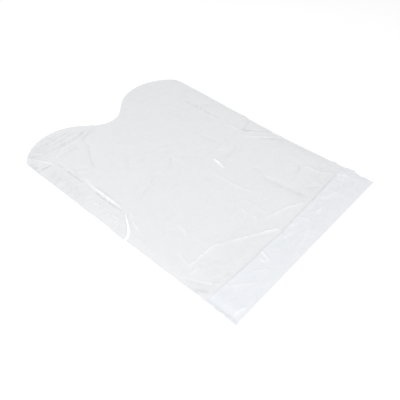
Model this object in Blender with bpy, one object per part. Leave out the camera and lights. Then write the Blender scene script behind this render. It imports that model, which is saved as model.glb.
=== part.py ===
"""Disposable film barber cape, laid flat: a die-cut sheet of thin polyethylene film.

The sheet is 0.50 m wide. Its bottom is folded up over the front and welded at both sides, which makes
a shallow pocket that catches clippings. At the top, a round neckline lies between two shoulder lobes.
A slit along each side frees a tie strap, which hangs from its lobe. The lobe folds in over the panel
along a straight line up from the slit's inner end. One crease crosses the sheet at mid-length, where
the cape is folded for packing.

Metres, +Z up. X runs across the cape, +Y towards the neckline, and the film lies on Z = 0. The origin
is the centre of the underside. Heights in the values below are measured from the bottom fold.
"""

import math

import bmesh
import bpy
from mathutils import Vector

# Driving dimensions
SHEET_WIDTH = 0.500  # side to side
NECK_HEIGHT = 0.625  # bottom fold to the lowest point of the neckline
NECK_RADIUS = 0.058  # the neckline's round bottom
FLANK_LENGTH = 0.0456  # straight stretch between the neckline's arc and the lobe's arc
FLANK_ANGLE = math.radians(41.0)  # its slope
LOBE_RADIUS = 0.115  # the lobe's arc on the neck side
SHOULDER_DROP = 0.055  # lobe's top down to the outer shoulder corner
STRAP_WIDTH = 0.050  # tie strap, outer edge to slit
STRAP_LENGTH = 0.301  # from the strap's root down to its tip
STRAP_END_HEIGHT = 0.057  # height of the curve that runs out to the side edge
SLIT_ABOVE_NECK = 0.005  # the slit's top run, above the neckline's lowest point
SLIT_CURVE_RUN = 0.055  # width of the slit's curve round the shoulder
SLIT_CURVE_DROP = 0.034  # height of that curve, down to the strap's root
LOBE_INSET = 0.100  # the slit's inner end and the lobe's fold line, from the centre line
POCKET_DEPTH = 0.078  # bottom fold to the pocket's open edge
SEAL_WIDTH = 0.007  # welded margin at each end of the pocket
WELD_GROOVE = 0.0004  # the weld line pressed into each margin
FILM = 0.0005  # a solid film, as it lies with the air that it traps

# Clearances
SLIT_GAP = 0.0010  # across a cut
STRAP_END_GAP = 0.0050  # across the cut at the strap's tip, which has drawn back
CREASE_GAP = 0.0003  # across a line where the film only folds
LAYER_GAP = 0.0003  # between the panel and the pocket's front

ARC_STEPS = 16

# Looks: colour, roughness
SINGLE_FILM = ((0.80, 0.82, 0.83), 0.35)
DOUBLE_FILM = ((0.84, 0.86, 0.90), 0.35)
WELD = ((0.78, 0.81, 0.86), 0.25)

# Values that follow from them
HALF_WIDTH = SHEET_WIDTH / 2
SLIT_X = HALF_WIDTH - STRAP_WIDTH
NECK_ARC_END = NECK_RADIUS * math.sin(FLANK_ANGLE)
LOBE_TOP_X = (NECK_RADIUS + LOBE_RADIUS) * math.sin(FLANK_ANGLE) + FLANK_LENGTH * math.cos(FLANK_ANGLE)
LOBE_CENTRE_HEIGHT = (
    NECK_HEIGHT
    + NECK_RADIUS
    - (NECK_RADIUS + LOBE_RADIUS) * math.cos(FLANK_ANGLE)
    + FLANK_LENGTH * math.sin(FLANK_ANGLE)
)
LENGTH = LOBE_CENTRE_HEIGHT + LOBE_RADIUS
LOBE_ARC_START = LOBE_TOP_X - LOBE_RADIUS * math.sin(FLANK_ANGLE)
SHOULDER_REACH = HALF_WIDTH - LOBE_TOP_X
SHOULDER_RADIUS = (SHOULDER_REACH**2 + SHOULDER_DROP**2) / (2 * SHOULDER_DROP)
SLIT_TOP = NECK_HEIGHT + SLIT_ABOVE_NECK
STRAP_ROOT = SLIT_TOP - SLIT_CURVE_DROP
STRAP_TIP = STRAP_ROOT - STRAP_LENGTH
STRAP_END_TOP = STRAP_TIP + STRAP_END_HEIGHT
CREASE = LENGTH / 2
BEAD_RADIUS = FILM + LAYER_GAP / 2
POCKET_Z = FILM + LAYER_GAP
STACK = POCKET_Z + FILM
PANEL_START = BEAD_RADIUS + CREASE_GAP


def steps(start, end, count=ARC_STEPS):
    """count + 1 evenly spaced values from start to end."""
    return [start + (end - start) * i / count for i in range(count + 1)]


def top_edge(x):
    """Height of the cut top edge at a distance x from the centre line: neckline arc, straight flank,
    lobe arc up to its top, then the wider arc down to the shoulder corner."""
    if x <= NECK_ARC_END:
        return NECK_HEIGHT + NECK_RADIUS - math.sqrt(NECK_RADIUS**2 - x**2)
    if x <= LOBE_ARC_START:
        arc_end = NECK_HEIGHT + NECK_RADIUS * (1 - math.cos(FLANK_ANGLE))
        return arc_end + (x - NECK_ARC_END) * math.tan(FLANK_ANGLE)
    if x <= LOBE_TOP_X:
        return LOBE_CENTRE_HEIGHT + math.sqrt(LOBE_RADIUS**2 - (LOBE_TOP_X - x) ** 2)
    fall = SHOULDER_RADIUS - math.sqrt(SHOULDER_RADIUS**2 - (x - LOBE_TOP_X) ** 2)
    return LENGTH - fall


def slit_edge(x):
    """Height of the cut under the lobe at a distance x from the centre line: level from its inner
    end, then a quarter sine wave down to the strap's root."""
    fall_start = SLIT_X - SLIT_CURVE_RUN
    if x <= fall_start:
        return SLIT_TOP
    return STRAP_ROOT + SLIT_CURVE_DROP * math.sin((SLIT_X - x) / SLIT_CURVE_RUN * math.pi / 2)


def strap_end(x):
    """Height of the strap's cut end at x: a quarter sine wave from the slit out to the side edge."""
    return STRAP_END_TOP - STRAP_END_HEIGHT * math.sin((x - SLIT_X) / STRAP_WIDTH * math.pi / 2)


def material(name, look):
    """A plain material of that colour and roughness."""
    rgb, roughness = look
    made = bpy.data.materials.new(name)
    made.use_nodes = True
    shader = made.node_tree.nodes["Principled BSDF"]
    shader.inputs["Base Color"].default_value = (*rgb, 1)
    shader.inputs["Roughness"].default_value = roughness
    shader.inputs["Metallic"].default_value = 0.0
    made.diffuse_color = (*rgb, 1)
    return made


def extruded(name, outline, along, pivot, look):
    """A prism: the flat outline, a list of points, extruded along a vector. The object's origin is
    the pivot."""
    bm = bmesh.new()
    face = bm.faces.new([bm.verts.new(point - pivot) for point in outline])
    grown = bmesh.ops.extrude_face_region(bm, geom=[face])["geom"]
    moved = [v for v in grown if isinstance(v, bmesh.types.BMVert)]
    bmesh.ops.translate(bm, vec=along, verts=moved)
    bmesh.ops.recalc_face_normals(bm, faces=bm.faces)
    mesh = bpy.data.meshes.new(name)
    bm.to_mesh(mesh)
    bm.free()
    mesh.materials.append(material(name, look))
    made = bpy.data.objects.new(name, mesh)
    made.location = pivot
    bpy.context.scene.collection.objects.link(made)
    return made


def on_sheet(x, height, z=0.0):
    """A point of the sheet, from its distance along X and its height above the bottom fold."""
    return Vector((x, height - CREASE, z))


def film_plate(name, outline, z, pivot, look=SINGLE_FILM):
    """A flat plate of film whose underside is at z, from its outline of (x, height) points."""
    corners = [on_sheet(x, height, z) for x, height in outline]
    return extruded(name, corners, Vector((0, 0, FILM)), pivot, look)


def mirrored(points):
    """The points on the other side of the centre line, in reverse order."""
    return [(-x, height) for x, height in reversed(points)]


def panel_side():
    """The panel's right edge, from the pocket's end up to the slit's inner end: the side of the
    sheet, the cut at the strap's end, the slit, and the curve round the shoulder."""
    narrow = SLIT_X - SLIT_GAP / 2
    points = [(HALF_WIDTH, POCKET_DEPTH + CREASE_GAP)]
    points += [(x, strap_end(x) - STRAP_END_GAP / 2) for x in steps(HALF_WIDTH, SLIT_X)[:-1]]
    points += [(narrow, STRAP_END_TOP - STRAP_END_GAP / 2)]
    points += [(x, slit_edge(x) - SLIT_GAP / 2) for x in steps(narrow, SLIT_X - SLIT_CURVE_RUN)]
    return points + [(LOBE_INSET, SLIT_TOP - SLIT_GAP / 2)]


def cut_level(points, height):
    """The rising line's points below the height and those above it. Each part ends at the height."""
    below = [p for p in points if p[1] < height]
    above = [p for p in points if p[1] > height]
    (x0, h0), (x1, h1) = below[-1], above[0]
    x = x0 + (x1 - x0) * (height - h0) / (h1 - h0)
    return [*below, (x, height)], [(x, height), *above]


def upper_panel():
    """The panel from the crease up to the neckline, between the two slits and the two lobes."""
    right = cut_level(panel_side(), CREASE + CREASE_GAP / 2)[1]
    inner = LOBE_INSET - CREASE_GAP / 2
    right[-1] = (inner, right[-1][1])
    right += [(x, top_edge(x)) for x in steps(inner, 0.0, 2 * ARC_STEPS)]
    return film_plate("upper_panel", right + mirrored(right)[1:], 0.0, on_sheet(0, CREASE))


def lower_panel():
    """The panel from the bottom fold up to the crease, cut back beside the pocket's welded margins."""
    inner = HALF_WIDTH - SEAL_WIDTH - CREASE_GAP
    right = [(inner, PANEL_START), (inner, POCKET_DEPTH + CREASE_GAP)]
    right += cut_level(panel_side(), CREASE - CREASE_GAP / 2)[0]
    return film_plate("lower_panel", right + mirrored(right), 0.0, on_sheet(0, CREASE))


def shoulder_lobe(side, name):
    """The lobe between the top edge and the slit, from its fold line out to the side edge."""
    inner = LOBE_INSET + CREASE_GAP / 2
    over = [(x, top_edge(x)) for x in steps(inner, HALF_WIDTH, 2 * ARC_STEPS)]
    root = STRAP_ROOT + CREASE_GAP / 2
    under = [(HALF_WIDTH, root), (SLIT_X + SLIT_GAP / 2, root)]
    under += [(x, slit_edge(x) + SLIT_GAP / 2) for x in steps(SLIT_X, SLIT_X - SLIT_CURVE_RUN)]
    under += [(inner, SLIT_TOP + SLIT_GAP / 2)]
    outline = [(side * x, height) for x, height in over + under]
    pivot = on_sheet(side * LOBE_INSET, SLIT_TOP, FILM)
    return film_plate(name, outline, 0.0, pivot)


def tie_strap(side, name):
    """The strap below the lobe, down to its curved end."""
    inner = SLIT_X + SLIT_GAP / 2
    root = STRAP_ROOT - CREASE_GAP / 2
    end = [(x, strap_end(x) + STRAP_END_GAP / 2) for x in steps(inner, HALF_WIDTH)]
    outline = [(side * x, height) for x, height in [(HALF_WIDTH, root), (inner, root)] + end]
    pivot = on_sheet(side * (SLIT_X + STRAP_WIDTH / 2), STRAP_ROOT, FILM)
    return film_plate(name, outline, 0.0, pivot)


def pocket_front():
    """The turned-up bottom of the sheet, over the panel and between the welded margins."""
    side = HALF_WIDTH - SEAL_WIDTH - CREASE_GAP
    outline = [(-side, PANEL_START), (side, PANEL_START), (side, POCKET_DEPTH), (-side, POCKET_DEPTH)]
    pivot = on_sheet(0, PANEL_START - CREASE_GAP / 2, STACK)
    return film_plate("pocket_front", outline, POCKET_Z, pivot, DOUBLE_FILM)


def bottom_fold():
    """The rounded turn of the film along the bottom, a half-round bar between the welded margins."""
    reach = HALF_WIDTH - SEAL_WIDTH - CREASE_GAP
    centre = on_sheet(-reach, BEAD_RADIUS, BEAD_RADIUS)
    angles = steps(math.pi / 2, 3 * math.pi / 2, ARC_STEPS // 2)
    half_round = [centre + BEAD_RADIUS * Vector((0, math.cos(a), math.sin(a))) for a in angles]
    return extruded("bottom_fold", half_round, Vector((2 * reach, 0, 0)), on_sheet(0, 0), DOUBLE_FILM)


def side_seal(side, name):
    """A welded margin, where both layers are fused: a bar with the weld line pressed into its top."""
    inner = HALF_WIDTH - SEAL_WIDTH
    line = inner + SEAL_WIDTH / 4
    profile = [
        (inner, 0.0),
        (HALF_WIDTH, 0.0),
        (HALF_WIDTH, STACK),
        (line + 2 * WELD_GROOVE, STACK),
        (line + WELD_GROOVE, STACK - WELD_GROOVE),
        (line, STACK - WELD_GROOVE),
        (line - WELD_GROOVE, STACK),
        (inner, STACK),
    ]
    section = [on_sheet(side * x, 0, z) for x, z in profile]
    return extruded(name, section, Vector((0, POCKET_DEPTH, 0)), on_sheet(side * HALF_WIDTH, 0), WELD)


def main():
    for old in list(bpy.data.objects):
        bpy.data.objects.remove(old)
    upper_panel()
    lower_panel()
    for side, word in ((-1, "left"), (1, "right")):
        shoulder_lobe(side, f"{word}_shoulder_lobe")
        tie_strap(side, f"{word}_tie_strap")
        side_seal(side, f"{word}_side_seal")
    pocket_front()
    bottom_fold()


main()
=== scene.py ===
"""Looks of the disposable film barber cape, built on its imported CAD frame.

The cape is one die-cut sheet of thin milky polyethylene film, lying flat. Every piece is a patch of
that sheet: a grid of (x, h) points, where x runs across the cape and h up from its bottom fold, is
carried onto one shared relief of creases and ripples, so that the patches meet without a step.
"""

import math

import bpy
import numpy as np
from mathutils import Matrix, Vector


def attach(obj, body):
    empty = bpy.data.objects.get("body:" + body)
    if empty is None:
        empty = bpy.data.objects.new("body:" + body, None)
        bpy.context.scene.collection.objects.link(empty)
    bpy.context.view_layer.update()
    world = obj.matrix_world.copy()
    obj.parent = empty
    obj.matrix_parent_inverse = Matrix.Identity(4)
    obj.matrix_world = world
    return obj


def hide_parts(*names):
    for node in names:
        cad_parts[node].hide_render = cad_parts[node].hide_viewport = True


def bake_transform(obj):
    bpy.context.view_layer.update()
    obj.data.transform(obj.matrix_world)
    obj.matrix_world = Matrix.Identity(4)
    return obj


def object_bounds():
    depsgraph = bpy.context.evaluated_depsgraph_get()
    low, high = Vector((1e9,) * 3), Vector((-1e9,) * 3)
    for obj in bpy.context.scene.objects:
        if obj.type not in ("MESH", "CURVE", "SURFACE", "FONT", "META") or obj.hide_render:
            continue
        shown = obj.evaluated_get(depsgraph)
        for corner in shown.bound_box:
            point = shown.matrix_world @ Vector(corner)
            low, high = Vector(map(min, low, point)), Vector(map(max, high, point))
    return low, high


bl_info = {
    "name": "Disposable Barber Cape",
    "version": (1, 0, 0),
    "blender": (4, 5, 0),
    "location": "3D View > Sidebar > Cape",
    "description": "Builds a thin film barber cape with ties and a clippings pocket",
    "category": "Add Mesh",
}

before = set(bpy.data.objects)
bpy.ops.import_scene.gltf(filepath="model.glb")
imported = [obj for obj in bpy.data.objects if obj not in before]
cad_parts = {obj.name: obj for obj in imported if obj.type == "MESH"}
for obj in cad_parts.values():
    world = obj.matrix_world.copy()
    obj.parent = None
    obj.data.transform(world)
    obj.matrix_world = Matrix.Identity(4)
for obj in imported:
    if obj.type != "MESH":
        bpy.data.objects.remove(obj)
CAD_LOW, CAD_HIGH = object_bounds()
MM = 0.001

# The cut, from the centre line and from the bottom fold
HALF_WIDTH = CAD_HIGH.x
HALF_LENGTH = CAD_HIGH.y
NECK_HEIGHT = 0.625
NECK_RADIUS = 0.058
FLANK_ANGLE = math.radians(41.0)
NECK_ARC_END = NECK_RADIUS * math.sin(FLANK_ANGLE)
FLANK_LENGTH = 0.0456
LOBE_RADIUS = 0.115
LOBE_TOP_X = (NECK_RADIUS + LOBE_RADIUS) * math.sin(FLANK_ANGLE) + FLANK_LENGTH * math.cos(FLANK_ANGLE)
LOBE_ARC_START = LOBE_TOP_X - LOBE_RADIUS * math.sin(FLANK_ANGLE)
LOBE_CENTRE = 2 * HALF_LENGTH - LOBE_RADIUS
SHOULDER_DROP = 0.055
SHOULDER_REACH = HALF_WIDTH - LOBE_TOP_X
SHOULDER_RADIUS = (SHOULDER_REACH**2 + SHOULDER_DROP**2) / (2 * SHOULDER_DROP)
STRAP_WIDTH = 0.050
SLIT_X = HALF_WIDTH - STRAP_WIDTH
SLIT_TOP = 0.630
SLIT_CURVE_RUN = 0.055
STRAP_ROOT = 0.596
STRAP_TIP = 0.295
STRAP_END_HEIGHT = 0.057
LOBE_INSET = 0.100
YOKE_START = 0.560  # above it the panel's rows turn to follow its top edge
POCKET_DEPTH = 0.0745
SEAL_WIDTH = 0.007
SEAL_X = HALF_WIDTH - SEAL_WIDTH
SEAL_GAP = 0.0003
TURN = 0.0008  # height at which the flat film ends and the bottom turn begins
CREASE = HALF_LENGTH
WEB_X = math.sqrt(NECK_RADIUS**2 - (NECK_RADIUS + NECK_HEIGHT - SLIT_TOP) ** 2)
WEB_GAP = 0.0004  # from the web beside the neckline to the lobe's first column
YOKE_GAP = 0.0002  # half the width of the slit under a lobe
SLIT_SHUT = 0.0001  # full width of a side slit where it lies shut
LOBE_RISE = 0.08  # about a lobe's height, which sets how far apart its rows are
STRAP_RUN = 0.28  # the same for a strap

# Length below the packing crease, where two bodies meet, that gets closely spaced rows
FOLD_BEND = 0.006

# How the film lies: heights over the table, the air in the pocket in mm, the bottom turn's painted
# whitening (partly the fold's real whitening, partly a painted highlight on its edge), and how far in
# from a side or a slit its waver fades out
EDGE_REST = 0.00025
LOWEST = 0.0001
AIR_GAP = 0.15
TURN_WHITENING_AND_HIGHLIGHT = 0.6
EDGE_FADE = 0.010
SLIT_FADE = 0.015

# What differs between the left side, -1, and the right, 1: the seed of the edge's waver, its
# roughness in mm at the pocket, the share of the wrinkles it shows, the gap under the strap's end,
# and where the slit stands open: from and to along it, and how far
SIDES = ((-1, "left"), (1, "right"))
SEED = {-1: 31, 1: 41}
ROUGH = {-1: 0.7, 1: 3.0}
DRAW = {-1: 1.0, 1: 0.35}
END_GAP = {-1: 0.0060, 1: 0.0015}
SLIT_OPEN = {
    -1: ((0.354, 0.446, 0.0011), (0.482, 0.548, 0.0007), (0.552, 0.592, 0.0006)),
    1: ((0.326, 0.347, 0.0018), (0.455, 0.478, 0.0010), (0.498, 0.524, 0.0014), (0.532, 0.544, 0.0010)),
}

# The finish: how much light the film bends, how far its roughness varies, and the grain's depth
FILM_IOR = 1.51
GLOSS_SPREAD = 0.06
GRAIN_DEPTH = 0.0006

# The studio
FLOOR_REACH = 6.0
KEY_SIZE = 1.2
KEY_PLACE = (-2.3, -1.3, 2.7)
FILL_SIZE = 2.0
FILL_PLACE = (-1.8, 0.6, 2.2)
CAMERA_PLACE = (-0.651, -0.282 - HALF_LENGTH, 0.788)
CAMERA_TILT = math.radians(90 - 44.58)
CAMERA_TURN = math.radians(-47.53)
SENSOR_WIDTH = 36.0

# The pocket's open edge, as (x, height) in mm
MOUTH_X = (-243, -200, -150, -100, -85, -50, -20, 0, 50, 100, 150, 200, 230, 243)
MOUTH_HEIGHT = (71.2, 69.8, 67.0, 66.7, 68.7, 67.3, 65.6, 67.6, 68.9, 70.1, 73.1, 75.9, 77.0, 76.5)

# Creases pressed into the film, and painted light and shade: the line in mm as (x, h) points, its height
# and width in mm, how much wider its lee side is, and its painted light: above 0 the film is painted
# whiter, partly the real whitening of a crease and partly a painted highlight on its ridge; below 0 it is
# painted darker, as painted shade in folds and hollows, in the slits and under the pocket's edge, and as
# broad painted shade. A height of 0 marks painted light without relief
CREASES_AND_PAINTED_LIGHT = [
    # Ridges painted whiter: partly the film's real whitening, partly a painted highlight
    ([(-222, 149), (-175, 150), (-137, 148), (-115, 136)], 1.1, 2.2, 1.6, 0.42),
    ([(-118, 137), (-50, 99), (-22, 84), (-2, 74)], 1.1, 2.6, 1.6, 0.40),
    ([(-38, 96), (-20, 80), (-12, 72)], 0.7, 1.8, 1.5, 0.30),
    ([(-10, 118), (40, 104), (94, 78)], 1.0, 2.4, 1.6, 0.38),
    ([(-238, 660), (-226, 640), (-214, 615), (-203, 592)], 1.2, 1.9, 1.6, 0.34),
    ([(-197, 597), (-180, 614), (-156, 626), (-104, 628)], 0.8, 1.9, 1.0, 0.50),
    ([(55, 286), (60, 304), (64, 330)], 1.4, 3.2, 1.5, 0.70),
    ([(85, 343), (100, 338), (122, 332)], 0.8, 1.8, 1.5, 0.35),
    ([(-158, 208), (-150, 222), (-149, 240)], 0.6, 3.0, 1.5, 0.22),
    ([(-26, 152), (-20, 174)], 0.6, 2.0, 1.5, 0.20),
    ([(-24, 126), (-20, 144)], 0.5, 2.0, 1.5, 0.20),
    ([(-226, 134), (-196, 134)], 0.6, 2.0, 1.5, 0.25),
    ([(-228, 118), (-216, 98), (-200, 76)], 0.5, 1.8, 1.5, 0.12),
    ([(-200, 192), (-206, 168), (-210, 148)], 0.5, 2.0, 1.5, 0.15),
    ([(-224, 424), (-220, 406)], 0.7, 1.5, 1.5, 0.42),
    ([(-230, 398), (-224, 386)], 0.6, 1.4, 1.5, 0.40),
    ([(-220, 396), (-216, 378)], 0.6, 1.4, 1.5, 0.35),
    ([(-229, 378), (-221, 370)], 0.6, 1.4, 1.5, 0.38),
    ([(-222, 366), (-218, 342)], 0.8, 1.7, 1.5, 0.45),
    ([(-238, 354), (-226, 358)], 0.7, 1.6, 1.5, 0.40),
    ([(-232, 346), (-224, 340)], 0.5, 1.4, 1.5, 0.30),
    ([(-216, 284), (-210, 304), (-202, 322)], 0.7, 2.0, 1.5, 0.32),
    ([(-197, 326), (-192, 342)], 0.6, 2.0, 1.5, 0.25),
    ([(186, 158), (193, 142), (196, 112), (214, 84)], 0.9, 2.6, 2.0, 0.08),
    ([(193, 350), (194, 376), (193, 406)], 0.5, 2.4, 1.5, 0.18),
    ([(180, 338), (198, 312), (216, 290), (240, 262)], 1.0, 3.4, 1.5, 0.14),
    ([(246, 290), (247, 274), (243, 258)], 0.8, 3.0, 1.0, 0.40),
    ([(35, 316), (28, 280), (27, 240), (31, 205), (42, 185)], 0.6, 2.6, 1.6, 0.12),
    ([(0, 380), (1, 470), (0, 590)], 0.22, 2.4, 1.5, 0.03),
    # Painted highlight along the left panel's rolled-up edge, over a low ridge
    ([(-185, 518), (-190, 480), (-194, 440), (-194, 396), (-198, 358)], 0.3, 4.6, 1.5, 0.32),
    # Grooves painted darker: painted shade in their hollows
    ([(-156, 512), (-146, 520), (-130, 550), (-98, 600)], -1.2, 3.4, 2.0, -0.07),
    ([(-195, 512), (-182, 540), (-166, 530), (-160, 516)], -0.6, 3.4, 2.0, -0.03),
    ([(-155, 356), (-110, 372), (-60, 393)], -1.0, 2.4, 2.0, -0.07),
    ([(-130, 356), (-90, 368), (-50, 386)], -0.7, 2.4, 2.0, -0.04),
    ([(-38, 382), (-16, 394), (4, 412)], -1.0, 2.4, 2.0, -0.08),
    ([(-108, 448), (-84, 466), (-56, 494)], -0.7, 4.5, 2.0, -0.05),
    ([(-70, 452), (-30, 462), (12, 456), (44, 440)], -0.7, 4.0, 2.0, -0.04),
    ([(0, 445), (14, 424), (30, 432)], -0.6, 3.0, 2.0, -0.05),
    ([(8, 408), (30, 380), (50, 350)], -0.5, 3.4, 2.0, -0.04),
    ([(88, 311), (118, 313), (145, 320)], -0.8, 2.2, 2.0, -0.10),
    ([(118, 304), (140, 304), (158, 309)], -0.6, 2.2, 2.0, -0.05),
    ([(154, 153), (174, 155), (190, 166)], -1.1, 2.2, 2.0, -0.18),
    ([(205, 119), (224, 112), (240, 112)], -0.8, 3.0, 2.0, -0.08),
    ([(-112, 139), (-60, 141), (-18, 144)], -0.6, 2.2, 2.0, -0.05),
    ([(90, 205), (98, 165), (102, 130), (108, 82)], -1.3, 6.0, 1.6, -0.09),
    ([(108, 240), (99, 210), (94, 180)], -0.7, 5.0, 1.6, -0.05),
    ([(128, 112), (138, 96), (156, 82)], -0.8, 3.4, 1.6, -0.07),
    ([(112, 416), (116, 388), (120, 364)], -0.7, 3.0, 2.0, -0.06),
    ([(150, 355), (122, 357), (104, 342)], -0.6, 3.0, 2.0, -0.04),
    ([(206, 303), (215, 284), (234, 264), (241, 240)], -1.3, 3.4, 2.0, -0.17),
    ([(200, 350), (226, 355), (251, 364)], -1.4, 2.2, 2.5, -0.16),
    ([(202, 512), (222, 494), (244, 478)], -0.9, 7.0, 2.0, -0.06),
    ([(204, 566), (228, 574), (250, 588)], -0.8, 7.0, 2.0, -0.05),
    # Painted shade in the left slit where it stands open
    ([(-201.5, 452), (-203, 405), (-201, 360)], 0.0, 1.0, 1.0, -0.48),
    ([(-200, 558), (-200.5, 530), (-200, 484)], 0.0, 0.8, 1.0, -0.36),
    ([(-199.5, 592), (-199.5, 566)], 0.0, 0.8, 1.0, -0.22),
    # Painted highlight on the left slit's edge, over a low ridge
    ([(-200, 568), (-196, 558), (-198, 546)], 0.4, 1.4, 1.0, 0.35),
    # Broad darkening without relief: painted shade on the panel's right side and the left lobe; the low left
    # band, the left strap and the bottom-left corner are darker too
    ([(60, 92), (150, 96), (200, 100), (246, 104)], 0.0, 20.0, 1.0, -0.06),
    ([(236, 90), (232, 200), (228, 320)], 0.0, 22.0, 1.0, -0.05),
    ([(-240, 104), (-100, 104), (40, 92)], 0.0, 24.0, 1.0, -0.05),
    ([(-228, 590), (-228, 440)], 0.0, 18.0, 1.0, -0.08),
    ([(-252, 626), (-226, 650), (-190, 668), (-130, 676)], 0.0, 18.0, 1.0, -0.11),
    ([(-255, 600), (-250, 618), (-240, 636)], 0.0, 9.0, 1.0, -0.12),
    ([(-250, 126), (-242, 100), (-226, 78)], 0.0, 8.0, 1.0, -0.11),
    # Painted shade in the right slit's open stretches and in the slot at the strap's end
    ([(197, 496), (197, 524)], 0.0, 1.0, 1.0, -0.50),
    ([(197, 453), (197, 480)], 0.0, 1.0, 1.0, -0.40),
    ([(197, 530), (197, 546)], 0.0, 1.0, 1.0, -0.40),
    ([(197, 556), (197, 590)], 0.0, 1.2, 1.0, -0.14),
    ([(197, 348), (199, 340), (206, 328)], 0.0, 1.5, 1.0, -0.50),
    # Painted shadow along the pocket's raised open edge
    ([(x, height + 1.0) for x, height in zip(MOUTH_X, MOUTH_HEIGHT)], 0.0, 1.4, 1.0, -0.22),
    # More grooves and folds painted darker: painted shade in their hollows
    ([(-246, 112), (-236, 94), (-226, 80)], -0.9, 3.0, 2.0, -0.10),
    ([(-242, 140), (-226, 108), (-214, 86)], -0.7, 3.0, 2.0, -0.06),
    ([(-232, 84), (-196, 90), (-160, 80)], -0.7, 3.0, 2.0, -0.06),
    ([(-256, 599), (-234, 598), (-208, 596)], -1.1, 2.0, 1.5, -0.36),
    ([(-106, 620), (-84, 626), (-62, 634), (-38, 642)], -1.3, 2.6, 2.0, -0.16),
    ([(-110, 598), (-96, 622), (-78, 650)], -0.7, 2.6, 2.0, -0.06),
    ([(-206, 641), (-184, 645), (-150, 639), (-96, 640), (-56, 649)], -1.6, 3.4, 2.2, -0.20),
    ([(-218, 657), (-186, 661), (-130, 656), (-76, 664)], -1.2, 3.0, 2.0, -0.12),
    ([(-196, 676), (-150, 671), (-96, 674)], -1.1, 3.2, 2.0, -0.10),
    ([(-180, 688), (-146, 683), (-112, 686)], -0.8, 2.8, 2.0, -0.07),
    ([(-186, 604), (-168, 606), (-120, 606)], -0.7, 3.0, 1.6, -0.10),
    ([(-252, 636), (-243, 622), (-236, 606)], -1.1, 6.0, 1.6, -0.16),
    ([(-228, 664), (-215, 648), (-205, 640)], -0.9, 4.0, 1.6, -0.10),
    ([(-254, 558), (-232, 562), (-206, 574)], -0.8, 3.4, 2.0, -0.07),
    ([(-253, 534), (-234, 540), (-208, 546)], -0.9, 3.0, 2.0, -0.09),
    ([(-252, 508), (-230, 516), (-212, 514)], -0.7, 3.0, 2.0, -0.05),
    ([(-252, 488), (-230, 493), (-207, 496)], -0.8, 3.0, 2.0, -0.07),
    ([(-250, 462), (-228, 470), (-206, 468)], -0.7, 3.0, 2.0, -0.05),
    ([(-254, 436), (-240, 442), (-222, 452)], -0.6, 3.0, 2.0, -0.05),
    ([(-254, 330), (-240, 326), (-226, 330)], -0.8, 3.0, 2.0, -0.07),
    ([(-195, 350), (-208, 325), (-224, 309), (-243, 293)], -0.6, 2.6, 1.0, -0.10),
    ([(-200, 356), (-60, 353), (60, 352), (200, 350)], -0.35, 2.4, 1.5, -0.02),
]

# The same for the pocket's front
POCKET_CREASES_AND_PAINTED_LIGHT = [
    # Ridges painted whiter: partly the film's real whitening, partly a painted highlight
    ([(-86, 70), (-90, 56), (-96, 40)], 1.0, 2.2, 1.5, 0.42),
    ([(-96, 44), (-106, 50), (-100, 60)], 0.7, 2.0, 1.5, 0.25),
    ([(-238, 16), (-220, 13), (-208, 8)], 0.8, 1.8, 1.5, 0.40),
    ([(-205, 70), (-175, 46), (-150, 26)], 0.6, 2.4, 1.5, 0.14),
    ([(-140, 52), (-112, 28)], 0.5, 2.4, 1.5, 0.12),
    ([(-60, 12), (-10, 20), (40, 34)], 0.5, 3.0, 1.5, 0.10),
    ([(8, 66), (14, 60), (28, 58)], 0.8, 2.0, 1.5, 0.32),
    ([(-30, 56), (-12, 52), (2, 53)], 0.6, 2.0, 1.5, 0.24),
    ([(36, 70), (48, 52), (44, 38)], 0.6, 2.4, 1.5, 0.16),
    ([(72, 46), (92, 43), (104, 45)], 0.6, 2.0, 1.5, 0.28),
    ([(212, 80), (220, 66), (226, 50)], 0.9, 2.4, 1.5, 0.30),
    ([(200, 70), (206, 58), (216, 56)], 0.7, 2.4, 1.5, 0.28),
    ([(120, 64), (140, 50), (166, 46)], 0.6, 3.0, 1.5, 0.14),
    # Grooves painted darker: painted shade in their hollows
    ([(-90, 22), (-60, 30), (-40, 38)], -0.5, 2.4, 2.0, -0.05),
    ([(110, 66), (135, 40), (160, 22)], -0.7, 3.0, 2.0, -0.06),
    ([(60, 66), (84, 56), (110, 58)], -0.6, 3.0, 2.0, -0.05),
    ([(160, 60), (190, 50), (226, 30)], -0.7, 3.4, 2.0, -0.06),
    ([(-60, 60), (10, 40), (60, 20)], -0.5, 3.0, 2.0, -0.04),
]


def smooth(t):
    """0 below t = 0, 1 above t = 1, and 3 t^2 - 2 t^3 between."""
    t = np.clip(t, 0.0, 1.0)
    return t * t * (3.0 - 2.0 * t)


def hump(t, start, end, slope):
    """1 between start and end, falling smoothly to 0 over the slope's length inside each end."""
    return smooth((t - start) / slope) * smooth((end - t) / slope)


def ripple(x, h, size, seed):
    """Smooth random relief from -1 to 1: a value drawn at each corner of a square lattice of that
    size, joined along both directions by 6 t^5 - 15 t^4 + 10 t^3."""
    lattice = np.random.default_rng(seed).uniform(-1.0, 1.0, (96, 96))
    u, v = x / size + 40.37, h / size + 20.61
    i, j = np.floor(u).astype(int), np.floor(v).astype(int)
    a, b = u - i, v - j
    a = a**3 * (a * (6 * a - 15) + 10)
    b = b**3 * (b * (6 * b - 15) + 10)
    low = lattice[i % 96, j % 96] * (1 - a) + lattice[(i + 1) % 96, j % 96] * a
    high = lattice[i % 96, (j + 1) % 96] * (1 - a) + lattice[(i + 1) % 96, (j + 1) % 96] * a
    return low * (1 - b) + high * b


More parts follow.
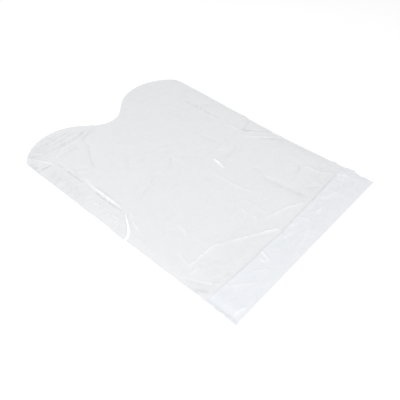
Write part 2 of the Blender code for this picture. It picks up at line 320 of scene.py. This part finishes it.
def beside(x, h, line):
    """For each point, its distance from a broken line, the side it lies on (1 left, -1 right) and
    its share of the way along the line. The nearest stretch counts."""
    points = np.array(line, float) * MM
    lengths = np.hypot(*np.diff(points, axis=0).T)
    distance = np.full(np.shape(x), np.inf)
    side, share = np.zeros(np.shape(x)), np.zeros(np.shape(x))
    before = 0.0
    for (x0, h0), (x1, h1), length in zip(points[:-1], points[1:], lengths):
        ux, uh = (x1 - x0) / length, (h1 - h0) / length
        t = np.clip((x - x0) * ux + (h - h0) * uh, 0.0, length)
        dx, dh = x - x0 - t * ux, h - h0 - t * uh
        d = np.hypot(dx, dh)
        near = d < distance
        distance = np.where(near, d, distance)
        side = np.where(near, np.sign(ux * dh - uh * dx), side)
        share = np.where(near, (before + t) / lengths.sum(), share)
        before += length
    return distance, side, share


def top_edge(x):
    """Height of the cut top edge: the neckline's arc, a straight flank, the lobe's arc to its top,
    and a wider arc down to the shoulder's corner. Each arc is its centre plus or minus the root of
    its radius squared less the offset squared."""
    x = np.abs(x)
    neck = NECK_HEIGHT + NECK_RADIUS - np.sqrt(np.maximum(NECK_RADIUS**2 - x**2, 0))
    flank = NECK_HEIGHT + NECK_RADIUS * (1 - math.cos(FLANK_ANGLE))
    flank = flank + (x - NECK_ARC_END) * math.tan(FLANK_ANGLE)
    lobe = LOBE_CENTRE + np.sqrt(np.maximum(LOBE_RADIUS**2 - (LOBE_TOP_X - x) ** 2, 0))
    fall = SHOULDER_RADIUS - np.sqrt(np.maximum(SHOULDER_RADIUS**2 - (x - LOBE_TOP_X) ** 2, 0))
    shoulder = 2 * HALF_LENGTH - fall
    return np.select([x <= NECK_ARC_END, x <= LOBE_ARC_START, x <= LOBE_TOP_X], [neck, flank, lobe], shoulder)


def slit_edge(x):
    """Height of the slit under the lobe: level, then a quarter sine down to the strap's root, and
    level again over the strap."""
    t = np.clip((SLIT_X - np.abs(x)) / SLIT_CURVE_RUN, 0.0, 1.0)
    return STRAP_ROOT + (SLIT_TOP - STRAP_ROOT) * np.sin(t * math.pi / 2)


def strap_end(x):
    """Height of the strap's cut end: a quarter sine from the slit down to the tip at the side."""
    t = np.clip((np.abs(x) - SLIT_X) / STRAP_WIDTH, 0.0, 1.0)
    return STRAP_TIP + STRAP_END_HEIGHT * (1 - np.sin(t * math.pi / 2))


def ragged(h, seed, rough):
    """Sideways waver of a hot-cut edge at height h: a few tenths of a millimetre, and a coarser
    waver of rough millimetres along the pocket's end."""
    fine = ripple(h, h * 0 + 0.5, 0.0045, seed) * 0.4 + ripple(h, h * 0 + 0.9, 0.016, seed + 1) * 0.7
    coarse = ripple(h, h * 0 + 0.2, 0.012, seed + 2) + ripple(h, h * 0 + 0.7, 0.005, seed + 3) * 0.5
    coarse = coarse + 1.2 * ripple(h, h * 0 + 0.4, 0.024, seed + 4)
    return (fine + (1 - smooth((h - 0.085) / 0.05)) * rough * coarse) * MM


def lie(x, h):
    """How the sheet has come to lie: its right side bows out at the shoulder and in below by a
    cosine along h, growing with the sixth power of x, with the right slit drawn inwards and a bump
    on the strap's edge, and its bottom edge rises to the right."""
    bow = 0.001 + 0.0065 * np.cos((np.minimum(h, 0.62) - 0.60) / 0.37 * math.pi)
    bow = bow * smooth(h / 0.12)
    across = np.clip(x / HALF_WIDTH, 0.0, 1.1) ** 6
    drawn = 0.0050 * np.exp(-(((x - 0.199) / 0.030) ** 2)) * hump(h, 0.352, 0.600, 0.05)
    bump = 0.0030 * np.exp(-(((h - 0.384) / 0.011) ** 2)) * smooth((x - 0.225) / 0.025)
    rise = (-0.0015 + 0.0058 * (x / HALF_WIDTH + 1) / 2) * (1 - smooth(h / 0.30))
    return x + bow * across - drawn + bump, h + rise


def pressed(x, h, creases):
    """Height that the creases add: each is a ridge or a groove that falls off as
    exp(-(d / width)^1.4) on both sides and fades towards its ends."""
    factor = bpy.context.scene.cape_film.crease * MM
    z = np.zeros(np.shape(x))
    for line, height, width, lee, _ in creases:
        d, side, share = beside(x, h, line)
        d = d / (MM * width * np.where(side > 0, 1.0, lee))
        z = z + factor * height * np.exp(-(d**1.4)) * smooth(np.minimum(share, 1 - share) / 0.14)
    return z


def relief(x, h):
    """Height of the film's underside over the table: broad swells, crumple lines where a warped
    ripple crosses zero, fine ripples, wrinkles across the straps and lobes, and the pressed creases.
    The outer edges lie down on the table, and the film is flatter beside the packing crease."""
    settings = bpy.context.scene.cape_film
    wx = x + 0.010 * ripple(x, h, 0.06, 11)
    wh = h + 0.010 * ripple(x, h, 0.06, 12)
    swell = 0.9 * ripple(x, h, 0.14, 1) + 0.5 * ripple(x, h, 0.062, 2)
    crumple = np.exp(-np.abs(ripple(wx, wh, 0.048, 3)) * 9.0) * (0.5 + 0.5 * ripple(x, h, 0.09, 4))
    crossed = np.exp(-np.abs(ripple(wh, wx, 0.027, 5)) * 8.0) * (0.5 + 0.5 * ripple(x, h, 0.07, 6))
    crumple = crumple + 0.6 * crossed
    fine = ripple(wx, wh, 0.011, 7) + 0.6 * ripple(wh, wx, 0.006, 8)
    drawn = ripple(0.45 * wx - 0.2 * wh, wh + 0.35 * wx, 0.013, 9)
    fine = fine + 1.6 * drawn * (0.6 + 0.4 * ripple(x, h, 0.05, 10))
    z = settings.rest + settings.swell * swell + settings.crumple * crumple + settings.fine * fine
    lobe = smooth((h - 0.600) / 0.03) * smooth((np.abs(x) - 0.06) / 0.08)
    strap = smooth((np.abs(x) - 0.197) / 0.012) * smooth((h - 0.30) / 0.03)
    gather = settings.gather * np.where(x < 0, DRAW[-1], DRAW[1])
    z = z + 0.45 * gather * lobe * ripple(0.10 * wx, wh + 0.15 * wx, 0.012, 13)
    z = z + 0.28 * gather * strap * ripple(0.30 * wx, wh + 0.15 * wx, 0.0075, 14)
    z = z + pressed(x, h, CREASES_AND_PAINTED_LIGHT)
    inside = smooth(np.minimum(h, HALF_WIDTH - np.abs(x)) / 0.020)
    z = EDGE_REST + (z - EDGE_REST) * (0.25 + 0.75 * inside)
    folded = np.exp(-(((h - CREASE) / 0.022) ** 2)) * (np.abs(x) < SLIT_X)
    z = z + (settings.rest - z) * 0.8 * folded
    return np.maximum(z, LOWEST)


def whitening_and_painted_light_of(x, h, creases):
    """The film's painted light: above 0 it is whiter along a crease, partly the film's real whitening and
    partly a painted highlight, broken up by a fine ripple, and below 0 it is painted shade in folds, slits
    and hollows. Each falls off as exp(-(d / width)^2)."""
    whitening_and_painted_light = np.zeros(np.shape(x))
    for line, _, width, _, whitening_and_painted_light_amount in creases:
        if whitening_and_painted_light_amount:
            d, _, share = beside(x, h, line)
            d = d / (MM * width * (0.8 if whitening_and_painted_light_amount > 0 else 1.3))
            whitening_and_painted_light = whitening_and_painted_light + whitening_and_painted_light_amount * np.exp(-(d**2)) * smooth(np.minimum(share, 1 - share) / 0.2)
    return np.clip(whitening_and_painted_light * (0.8 + 0.6 * ripple(x, h, 0.007, 21)), -1.0, 1.0)


def sheet(x, h):
    """The lying film: (x, h) moved as it lies, on the relief."""
    sx, sh = lie(x, h)
    return np.stack([sx, sh - HALF_LENGTH, relief(x, h)], -1)


def normals_of(surface, x, h):
    """Unit normals: the cross product of the surface's central differences, 0.4 mm each way."""
    e = 0.4 * MM
    across = surface(x + e, h) - surface(x - e, h)
    along = surface(x, h + e) - surface(x, h - e)
    normal = np.cross(across, along)
    return normal / np.linalg.norm(normal, axis=-1, keepdims=True)


def shell(name, under, over, normal, whitening_and_painted_light, material):
    """A closed shell from two skins over one grid, columns towards +X: the upper skin, the lower one
    turned over, and a rim that joins them round the grid's border. The skins carry the given
    normals, the rim those halfway between outwards and the upper skin's."""
    rows, cols = under.shape[:2]
    n = rows * cols
    index = np.arange(n).reshape(rows, cols)
    a, b, c, d = index[:-1, :-1], index[:-1, 1:], index[1:, 1:], index[1:, :-1]
    top = np.stack([a, b, c, d], -1).reshape(-1, 4) + n
    bottom = np.stack([a, d, c, b], -1).reshape(-1, 4)
    ring = np.concatenate([index[0, :-1], index[:-1, -1], index[-1, :0:-1], index[:0:-1, 0]])
    after = np.roll(ring, -1)
    rim = np.stack([ring, after, after + n, ring + n], -1)
    faces = np.concatenate([top, bottom, rim]).astype(np.int32)
    points = np.concatenate([under.reshape(-1, 3), over.reshape(-1, 3)]).astype(np.float32)
    mesh = bpy.data.meshes.new(name)
    mesh.vertices.add(len(points))
    mesh.vertices.foreach_set("co", points.ravel())
    mesh.loops.add(len(faces) * 4)
    mesh.loops.foreach_set("vertex_index", faces.ravel())
    mesh.polygons.add(len(faces))
    mesh.polygons.foreach_set("loop_start", np.arange(0, len(faces) * 4, 4, dtype=np.int32))
    mesh.update(calc_edges=True)
    mesh.polygons.foreach_set("use_smooth", np.ones(len(faces), bool))
    up = normal.reshape(-1, 3)
    along = points[after + n] - points[ring + n]
    out = np.cross(along, up[ring])
    out = out / np.maximum(np.linalg.norm(out, axis=1, keepdims=True), 1e-12) + up[ring]
    out = out / np.linalg.norm(out, axis=1, keepdims=True)
    corners = np.concatenate([up[top.ravel() - n], -up[bottom.ravel()], np.repeat(out, 4, axis=0)])
    mesh.normals_split_custom_set(corners.tolist())
    # Painted light on both skins: whiter along creases, partly real whitening and partly a painted highlight,
    # and painted shade below 0
    whitening_and_painted_light_layer = mesh.attributes.new("whitening_and_painted_light", "FLOAT", "POINT")
    whitening_and_painted_light_layer.data.foreach_set("value", np.tile(whitening_and_painted_light.ravel(), 2).astype(np.float32))
    mesh.materials.append(material)
    made = bpy.data.objects.new(name, mesh)
    bpy.context.scene.collection.objects.link(made)
    return made


def film_patch(name, x, h, surface, material, creases=CREASES_AND_PAINTED_LIGHT):
    """A shell of film over the grid of (x, h) points: the surface, and a second skin one film's
    thickness above it along the normals. Its flat size is that of the grid."""
    thick = bpy.context.scene.cape_film.thickness
    under = surface(x, h)
    normal = normals_of(surface, x, h)
    made = shell(name, under, under + normal * thick, normal, whitening_and_painted_light_of(x, h, creases), material)
    return made


def spread(low, high, step):
    """Evenly spaced values from low to high, about one step apart."""
    return np.linspace(low, high, max(2, round(abs(high - low) / step) + 1))


def rows_between(low, high, share):
    """The grid between two lines h(x): each row is a share of the way from one to the other."""
    return low + (high - low) * share[:, None]


def body_side(h, gap):
    """Half the panel's width at height h: the welded margin's inner line beside the pocket, the
    sheet's edge, the cut at the strap's end, and the slit. The gap is that under the strap's end."""
    t = np.clip((STRAP_TIP + STRAP_END_HEIGHT - gap - h) / STRAP_END_HEIGHT, 0.0, 1.0)
    cut = SLIT_X + STRAP_WIDTH * np.arcsin(t) * 2 / math.pi
    return np.where(h <= POCKET_DEPTH, SEAL_X - SEAL_GAP, cut)


def gape(side, h):
    """Width of the slit at height h: nearly shut, with the short stretches where it stands open."""
    width = np.full(np.shape(h), SLIT_SHUT)
    for start, end, most in SLIT_OPEN[side]:
        width = width + most * hump(h, start, end, 0.006)
    return width


def panel_edge(side, h):
    """The panel's edge on that side: its half width less half the slit, wavering above the pocket."""
    waver = ragged(h, SEED[side], ROUGH[side]) * (h > POCKET_DEPTH)
    return side * (body_side(h, END_GAP[side]) - gape(side, h) / 2) + waver


def worn(side, x, h):
    """The waver of the side edge, fading out over EDGE_FADE inside it."""
    return ragged(h, SEED[side], 0.0) * smooth((np.abs(x) - (HALF_WIDTH - EDGE_FADE)) / EDGE_FADE)


def yoke_gap(reach):
    """Half the gap between the panel and a lobe: none on the web, then YOKE_GAP along the slit."""
    return YOKE_GAP * smooth((reach - LOBE_INSET) / 0.006)


def curled(x, h):
    """The panel's sheet: its edge along the open part of the left slit has rolled up into a ridge,
    a bell curve 1.4 mm high across."""
    place = sheet(x, h)
    place[..., 2] += 0.0014 * np.exp(-(((x + 0.1930) / 0.0040) ** 2)) * hump(h, 0.352, 0.505, 0.06)
    return place


def splayed(x, h):
    """The left strap's sheet, which has slid outwards a little towards its tip."""
    place = sheet(x, h)
    place[..., 0] -= 0.0024 * smooth((0.36 - h) / 0.05)
    return place


def turned_up(x, h):
    """The pocket's front: the panel's relief, a film's thickness and an air gap above it, with its
    own swells and creases. It is held down at both welds, and its open edge stands up a little."""
    place = sheet(x, h)
    own = 0.5 + 0.45 * ripple(x, h, 0.055, 51) + 0.20 * ripple(x, h, 0.019, 52)
    own = own + 0.21 * np.exp(-np.abs(ripple(0.6 * x + h, h - 0.5 * x, 0.024, 53)) * 6.0)
    own = own + pressed(x, h, POCKET_CREASES_AND_PAINTED_LIGHT) / MM
    free = smooth((SEAL_X - np.abs(x)) / 0.02) * smooth(h / 0.012)
    mouth = 0.9 * smooth((h - 0.052) / 0.022)
    thickness = bpy.context.scene.cape_film.thickness
    place[..., 2] += thickness + (AIR_GAP + free * (np.maximum(own, 0.0) + mouth)) * MM
    return place


def ruffled(side):
    """The surface of a welded margin: the sheet, ruffled more and more from the weld outwards."""

    def fused(x, h):
        place = sheet(x, h)
        t = np.clip((np.abs(x) - SEAL_X) / SEAL_WIDTH, 0.0, 1.5)
        lift = (0.2 + 0.3 * ROUGH[side]) * t * (1 + ripple(x, h, 0.007, SEED[side] + 5))
        place[..., 2] += lift * MM
        return place

    return fused


def set_node(nodes, kind, values):
    """A new node of that kind, with the given values on its sockets."""
    made = nodes.new(kind)
    for socket, value in values.items():
        made.inputs[socket].default_value = value
    return made


def film_material(name, colour, opacity, mottle):
    """Milky film: the attribute of painted light, with a patchy noise of the mottle's strength added, runs
    from the painted shade colour through the film's own to white, which is partly real crease whitening
    and partly painted highlight, where the film is opaque too. The patches make the gloss uneven, and a
    finer noise gives it grain."""
    settings = looks()
    made = bpy.data.materials.new(name)
    made.use_nodes = True
    nodes, links = made.node_tree.nodes, made.node_tree.links
    shader = nodes["Principled BSDF"]
    shader.inputs["IOR"].default_value = FILM_IOR
    place = nodes.new("ShaderNodeTexCoord")
    drawn = set_node(nodes, "ShaderNodeMapping", {"Rotation": (0.0, 0.0, 0.3), "Scale": (0.55, 1.4, 1.0)})
    patchy = {"Scale": 60.0, "Detail": 7.0, "Roughness": 0.62, "Distortion": 1.6}
    patches = set_node(nodes, "ShaderNodeTexNoise", patchy)
    links.new(place.outputs["Object"], drawn.inputs["Vector"])
    links.new(drawn.outputs["Vector"], patches.inputs["Vector"])

    def from_patches(low, high):
        ends = {"From Min": 0.3, "From Max": 0.7, "To Min": low, "To Max": high}
        spots = set_node(nodes, "ShaderNodeMapRange", ends)
        links.new(patches.outputs["Fac"], spots.inputs["Value"])
        return spots.outputs["Result"]

    # Reads the painted light: crease whitening with painted highlight above 0, painted shade below 0
    whitening_and_painted_light = nodes.new("ShaderNodeAttribute")
    whitening_and_painted_light.attribute_name = "whitening_and_painted_light"
    both = nodes.new("ShaderNodeMath")
    links.new(whitening_and_painted_light.outputs["Fac"], both.inputs[0])
    links.new(from_patches(-mottle, mottle), both.inputs[1])
    centred = set_node(nodes, "ShaderNodeMapRange", {"From Min": -1.0})
    links.new(both.outputs["Value"], centred.inputs["Value"])
    # Ramp from the painted shade colour through the film's own to the white of crease whitening and painted
    # highlight
    tint = nodes.new("ShaderNodeValToRGB")
    tint.color_ramp.elements[0].color = (*settings.painted_shade_colour, 1)
    tint.color_ramp.elements[1].color = (*settings.whitening_and_highlight_colour, 1)
    tint.color_ramp.elements.new(0.5).color = (*colour, 1)
    links.new(centred.outputs["Result"], tint.inputs["Fac"])
    links.new(tint.outputs["Color"], shader.inputs["Base Color"])
    cover = set_node(nodes, "ShaderNodeMapRange", {"To Min": opacity, "To Max": 1.0})
    links.new(whitening_and_painted_light.outputs["Fac"], cover.inputs["Value"])
    links.new(cover.outputs["Result"], shader.inputs["Alpha"])
    gloss = from_patches(settings.roughness - GLOSS_SPREAD, settings.roughness + GLOSS_SPREAD)
    links.new(gloss, shader.inputs["Roughness"])
    grain = set_node(nodes, "ShaderNodeTexNoise", {"Scale": 110.0, "Detail": 4.0, "Distortion": 0.6})
    links.new(place.outputs["Object"], grain.inputs["Vector"])
    bump = set_node(nodes, "ShaderNodeBump", {"Strength": settings.grain, "Distance": GRAIN_DEPTH})
    links.new(grain.outputs["Fac"], bump.inputs["Height"])
    links.new(bump.outputs["Normal"], shader.inputs["Normal"])
    return made


def one_layer(name):
    """The material of a single layer of film."""
    return film_material(name, looks().film_colour, looks().opacity, looks().mottle)


def two_layers(name):
    """The material of film that lies double or is fused."""
    return film_material(name, looks().pocket_colour, looks().pocket_opacity, looks().pocket_mottle)


class CapeFilm(bpy.types.PropertyGroup):
    """Sizes of the film and its relief"""

    thickness: bpy.props.FloatProperty(
        name="Thickness",
        description="Thickness of one layer as drawn",
        default=0.0002,
        unit="LENGTH",
        precision=5,
    )
    rest: bpy.props.FloatProperty(
        name="Rest",
        description="Mean height over the table",
        default=0.0013,
        unit="LENGTH",
        precision=5,
    )
    swell: bpy.props.FloatProperty(
        name="Swell",
        description="Height of the broad swells",
        default=0.00055,
        unit="LENGTH",
        precision=5,
    )
    crumple: bpy.props.FloatProperty(
        name="Crumple",
        description="Height of the crumple lines",
        default=0.00042,
        unit="LENGTH",
        precision=5,
    )
    fine: bpy.props.FloatProperty(
        name="Ripple",
        description="Height of the fine ripples",
        default=0.00007,
        unit="LENGTH",
        precision=5,
    )
    gather: bpy.props.FloatProperty(
        name="Wrinkles",
        description="Height of the wrinkles across the straps and lobes",
        default=0.0008,
        unit="LENGTH",
        precision=5,
    )
    crease: bpy.props.FloatProperty(
        name="Creases",
        description="Factor on the height of the pressed creases",
        default=1.0,
        subtype="FACTOR",
    )
    grid: bpy.props.FloatProperty(
        name="Grid",
        description="Spacing of the mesh",
        default=0.0022,
        min=0.001,
        unit="LENGTH",
        precision=5,
    )


class CapeLooks(bpy.types.PropertyGroup):
    """Colours and gloss of the film"""

    film_colour: bpy.props.FloatVectorProperty(
        name="Film",
        description="One layer of film",
        subtype="COLOR",
        size=3,
        default=(0.780, 0.789, 0.797),
    )
    pocket_colour: bpy.props.FloatVectorProperty(
        name="Pocket",
        description="Two layers of film",
        subtype="COLOR",
        size=3,
        default=(0.722, 0.738, 0.766),
    )
    # Film turned white at a crease: partly the film's real whitening, partly a painted highlight
    whitening_and_highlight_colour: bpy.props.FloatVectorProperty(
        name="Crease",
        description="Film turned white at a crease",
        subtype="COLOR",
        size=3,
        default=(0.95, 0.95, 0.96),
    )
    # Painted shade colour, put into folds, hollows, the slits and under the pocket's edge
    painted_shade_colour: bpy.props.FloatVectorProperty(
        name="Fold",
        description="Film lying in folds",
        subtype="COLOR",
        size=3,
        default=(0.40, 0.44, 0.48),
    )
    mottle: bpy.props.FloatProperty(
        name="Mottle",
        description="Patchiness of one layer",
        default=0.05,
        subtype="FACTOR",
    )
    pocket_mottle: bpy.props.FloatProperty(
        name="Pocket mottle",
        description="Patchiness of two layers",
        default=0.07,
        subtype="FACTOR",
    )
    opacity: bpy.props.FloatProperty(
        name="Opacity",
        description="Cover of one layer",
        default=0.86,
        subtype="FACTOR",
    )
    pocket_opacity: bpy.props.FloatProperty(
        name="Pocket opacity",
        description="Cover of two layers",
        default=0.95,
        subtype="FACTOR",
    )
    roughness: bpy.props.FloatProperty(
        name="Roughness",
        description="Mean roughness of the film",
        default=0.34,
        subtype="FACTOR",
    )
    grain: bpy.props.FloatProperty(
        name="Grain",
        description="Strength of the fine grain",
        default=0.3,
        subtype="FACTOR",
    )


class CapeStage(bpy.types.PropertyGroup):
    """Floor, light and camera"""

    floor_colour: bpy.props.FloatVectorProperty(
        name="Floor",
        description="Plain pale floor",
        subtype="COLOR",
        size=3,
        default=(0.97, 0.97, 0.97),
    )
    key_power: bpy.props.FloatProperty(
        name="Key",
        description="Power of the key softbox",
        default=76.0,
        unit="POWER",
    )
    fill_power: bpy.props.FloatProperty(
        name="Fill",
        description="Power of the fill softbox",
        default=8.0,
        unit="POWER",
    )
    sky: bpy.props.FloatProperty(
        name="Sky",
        description="Strength of the even light all round",
        default=0.76,
    )
    lens: bpy.props.FloatProperty(
        name="Lens",
        description="Focal length",
        default=45.95,
        unit="CAMERA",
    )


def looks():
    """The looks set for this scene."""
    return bpy.context.scene.cape_looks


class CAPE_OT_panel(bpy.types.Operator):
    """The panel of film: the upper half up to the neckline, and the lower half down to the fold"""

    bl_idname = "cape.panel"
    bl_label = "Panel"

    def execute(self, context):
        step = context.scene.cape_film.grid
        material = one_layer("panel_film")
        share = spread(0.0, 1.0, step / (2 * HALF_WIDTH))

        def across(h):
            left, right = panel_edge(-1, h), panel_edge(1, h)
            return left[:, None] + (right - left)[:, None] * share

        # Extra rows follow both strap ends, the top of the pocket and the bend at the crease
        tip = strap_end(SLIT_X + STRAP_WIDTH * spread(0, 1, 0.07))
        notch = POCKET_DEPTH + np.array([-0.0001, 0.0001])
        bend = CREASE - spread(0, FOLD_BEND, 0.0007)
        h = np.concatenate([spread(TURN, CREASE, step), tip - END_GAP[-1], tip - END_GAP[1], notch, bend])
        h = np.unique(np.round(h[h <= CREASE], 5))
        h[-1] = CREASE
        rows = np.tile(h[:, None], len(share))
        lower = film_patch("lower_panel_film", across(h), rows, curled, material)
        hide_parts("lower_panel")
        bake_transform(lower)

        h = spread(CREASE, YOKE_START, step)
        x = across(h)
        rows = np.tile(h[:, None], len(share))
        reach = np.abs(x[-1])
        top = np.where(reach < WEB_X, top_edge(reach), slit_edge(reach) - yoke_gap(reach))
        yoke = rows_between(YOKE_START, top, spread(0, 1, step / (SLIT_TOP - YOKE_START))[1:])
        x = np.concatenate([x, np.tile(x[-1], (len(yoke), 1))])
        upper = film_patch("upper_panel_film", x, np.concatenate([rows, yoke]), curled, material)
        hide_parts("upper_panel")
        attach(upper, "upper_half")
        return {"FINISHED"}


class CAPE_OT_lobes(bpy.types.Operator):
    """The two shoulder lobes, from the web beside the neckline out to the side edges"""

    bl_idname = "cape.lobes"
    bl_label = "Shoulder lobes"

    def execute(self, context):
        step = context.scene.cape_film.grid
        material = one_layer("lobe_film")
        for side, word in SIDES:
            x = np.sort(side * spread(WEB_X + WEB_GAP, HALF_WIDTH, step))
            reach = np.abs(x)
            low = slit_edge(reach) + yoke_gap(reach)
            h = rows_between(low, top_edge(reach), spread(0, 1, step / LOBE_RISE))
            x = np.tile(x, (len(h), 1))
            x = x + side * worn(side, x, h)
            lobe = film_patch(f"{word}_lobe_film", x, h, sheet, material)
            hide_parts(f"{word}_shoulder_lobe")
            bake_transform(lobe)
        return {"FINISHED"}


class CAPE_OT_straps(bpy.types.Operator):
    """The two tie straps, each from its root at the lobe down to its curved end"""

    bl_idname = "cape.straps"
    bl_label = "Tie straps"

    def execute(self, context):
        step = context.scene.cape_film.grid
        material = one_layer("strap_film")
        for side, word in SIDES:
            x = np.sort(side * spread(SLIT_X, HALF_WIDTH, step))
            root = np.full(len(x), STRAP_ROOT)
            h = rows_between(strap_end(x), root, spread(0, 1, step / STRAP_RUN))
            x = np.tile(x, (len(h), 1))
            slit = gape(side, h) / 2 * smooth((SLIT_X + SLIT_FADE - np.abs(x)) / SLIT_FADE)
            x = x + side * (worn(side, x, h) + slit)
            surface = splayed if side < 0 else sheet
            strap = film_patch(f"{word}_strap_film", x, h, surface, material)
            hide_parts(f"{word}_tie_strap")
            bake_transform(strap)
        return {"FINISHED"}


class CAPE_OT_pocket(bpy.types.Operator):
    """The pocket: the turned-up front in two halves that meet on the centre line, and the turn,
    a half round from the panel's skin up to the front's"""

    bl_idname = "cape.pocket"
    bl_label = "Pocket"

    def execute(self, context):
        step = context.scene.cape_film.grid
        thick = context.scene.cape_film.thickness
        material = two_layers("pocket_film")
        for side, word in SIDES:
            x = np.sort(side * spread(0.0, SEAL_X - SEAL_GAP, step))
            mouth = MM * np.interp(x / MM, MOUTH_X, MOUTH_HEIGHT)
            mouth = mouth + 0.0003 * ripple(x, x * 0 + 0.3, 0.012, 61)
            h = rows_between(np.full(len(x), TURN), mouth, spread(0, 1, step / POCKET_DEPTH))
            x = np.tile(x, (len(h), 1))
            name = f"{word}_pocket_film"
            front = film_patch(name, x, h, turned_up, material, POCKET_CREASES_AND_PAINTED_LIGHT)
            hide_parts("pocket_front")
            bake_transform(front)
        x = spread(-SEAL_X + SEAL_GAP, SEAL_X - SEAL_GAP, step)
        angle = spread(0.0, math.pi, 0.26)
        x = np.tile(x, (len(angle), 1))
        low, high = sheet(x, x * 0 + TURN), turned_up(x, x * 0 + TURN)
        radius = (high[..., 2] + thick - low[..., 2]) / 2
        a = np.tile(angle[:, None], x.shape[1])
        out = np.stack([x * 0, -np.sin(a), -np.cos(a)], -1)
        centre = low + np.stack([x * 0, x * 0, radius], -1)
        over = centre + out * radius[..., None]
        under = centre + out * (radius - thick)[..., None]
        # The bottom turn painted whiter: partly the fold's real whitening, partly a painted highlight on its
        # edge
        turn = shell("bottom_turn_film", under, over, out, x * 0 + TURN_WHITENING_AND_HIGHLIGHT, material)
        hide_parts("bottom_fold")
        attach(turn, "lower_half")
        return {"FINISHED"}


class CAPE_OT_seals(bpy.types.Operator):
    """The welded margins at the pocket's ends: fused film, ruffled, 0.6 mm thick at the weld and
    0.35 mm at its edge, with a groove along the weld, a bell curve 0.25 mm deep"""

    bl_idname = "cape.seals"
    bl_label = "Side seals"

    def execute(self, context):
        material = two_layers("weld_film")
        for side, word in SIDES:
            h = spread(0.0, POCKET_DEPTH - 0.0002, 0.0010)
            share = spread(0.0, 1.0, 0.08)
            edge = HALF_WIDTH + ragged(h, SEED[side], ROUGH[side])
            reach = SEAL_X + (edge - SEAL_X)[:, None] * share
            x = np.sort(side * reach, axis=1)
            h = np.tile(h[:, None], len(share))
            t = (np.abs(x) - SEAL_X) / SEAL_WIDTH
            groove = 0.25 * np.exp(-(((t - 0.3) / 0.09) ** 2))
            thick = (0.60 - 0.25 * t - groove) * MM
            fused = ruffled(side)
            under = fused(x, h)
            normal = normals_of(fused, x, h)
            over = under + normal * thick[..., None]
            # Painted light on the margins: whiter streaks, partly real whitening and partly a painted
            # highlight, and painted shade in the groove along the weld
            whitening_and_painted_light = 0.25 * t * ripple(x, h, 0.006, SEED[side] + 6) - 0.9 * groove
            seal = shell(f"{word}_seal_film", under, over, normal, whitening_and_painted_light, material)
            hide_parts(f"{word}_side_seal")
            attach(seal, "lower_half")
        return {"FINISHED"}


class CAPE_OT_stage(bpy.types.Operator):
    """Floor, soft light and camera"""

    bl_idname = "cape.stage"
    bl_label = "Stage"

    def execute(self, context):
        settings = context.scene.cape_stage
        link = context.scene.collection.objects.link
        mesh = bpy.data.meshes.new("floor")
        corners = [(x * FLOOR_REACH, y * FLOOR_REACH, 0) for x, y in ((-1, -1), (1, -1), (1, 1), (-1, 1))]
        mesh.from_pydata(corners, [], [(0, 1, 2, 3)])
        floor = bpy.data.objects.new("floor", mesh)
        link(floor)
        paint = bpy.data.materials.new("floor")
        paint.use_nodes = True
        shader = paint.node_tree.nodes["Principled BSDF"]
        shader.inputs["Base Color"].default_value = (*settings.floor_colour, 1)
        shader.inputs["Roughness"].default_value = 0.9
        shader.inputs["Specular IOR Level"].default_value = 0.0
        mesh.materials.append(paint)
        world = bpy.data.worlds.new("studio")
        world.use_nodes = True
        sky = world.node_tree.nodes["Background"]
        sky.inputs["Color"].default_value = (1, 1, 1, 1)
        sky.inputs["Strength"].default_value = settings.sky
        context.scene.world = world
        for name, power, size, place in (
            ("key", settings.key_power, KEY_SIZE, KEY_PLACE),
            ("fill", settings.fill_power, FILL_SIZE, FILL_PLACE),
        ):
            data = bpy.data.lights.new(name, "AREA")
            data.energy = power
            data.size = size
            lamp = bpy.data.objects.new(name, data)
            lamp.location = place
            lamp.rotation_euler = (-Vector(place)).to_track_quat("-Z", "Y").to_euler()
            link(lamp)
        data = bpy.data.cameras.new("camera")
        data.lens = settings.lens
        data.sensor_width = SENSOR_WIDTH
        camera = bpy.data.objects.new("camera", data)
        camera.location = CAMERA_PLACE
        camera.rotation_euler = (CAMERA_TILT, 0.0, CAMERA_TURN)
        link(camera)
        context.scene.camera = camera
        context.scene.view_settings.view_transform = "Standard"
        return {"FINISHED"}


class CAPE_PT_sidebar(bpy.types.Panel):
    """Lists the cape's settings and pieces"""

    bl_idname = "CAPE_PT_sidebar"
    bl_label = "Barber cape"
    bl_space_type = "VIEW_3D"
    bl_region_type = "UI"
    bl_category = "Cape"

    def draw(self, context):
        for group in (context.scene.cape_film, context.scene.cape_looks, context.scene.cape_stage):
            for key in group.__annotations__:
                self.layout.prop(group, key)
        for operator in OPERATORS:
            self.layout.operator(operator.bl_idname)


OPERATORS = (CAPE_OT_seals, CAPE_OT_pocket, CAPE_OT_panel, CAPE_OT_lobes, CAPE_OT_straps, CAPE_OT_stage)
CLASSES = (CapeFilm, CapeLooks, CapeStage, *OPERATORS, CAPE_PT_sidebar)


def register():
    """Registers the classes and hangs their settings on the scene."""
    for cls in CLASSES:
        bpy.utils.register_class(cls)
    bpy.types.Scene.cape_film = bpy.props.PointerProperty(type=CapeFilm)
    bpy.types.Scene.cape_looks = bpy.props.PointerProperty(type=CapeLooks)
    bpy.types.Scene.cape_stage = bpy.props.PointerProperty(type=CapeStage)


def unregister():
    """Takes back what register did."""
    del bpy.types.Scene.cape_stage
    del bpy.types.Scene.cape_looks
    del bpy.types.Scene.cape_film
    for cls in reversed(CLASSES):
        bpy.utils.unregister_class(cls)


def main():
    register()
    bpy.ops.cape.seals()
    bpy.ops.cape.pocket()
    bpy.ops.cape.panel()
    bpy.ops.cape.lobes()
    bpy.ops.cape.straps()
    bpy.ops.cape.stage()


if __name__ == "__main__":
    main()
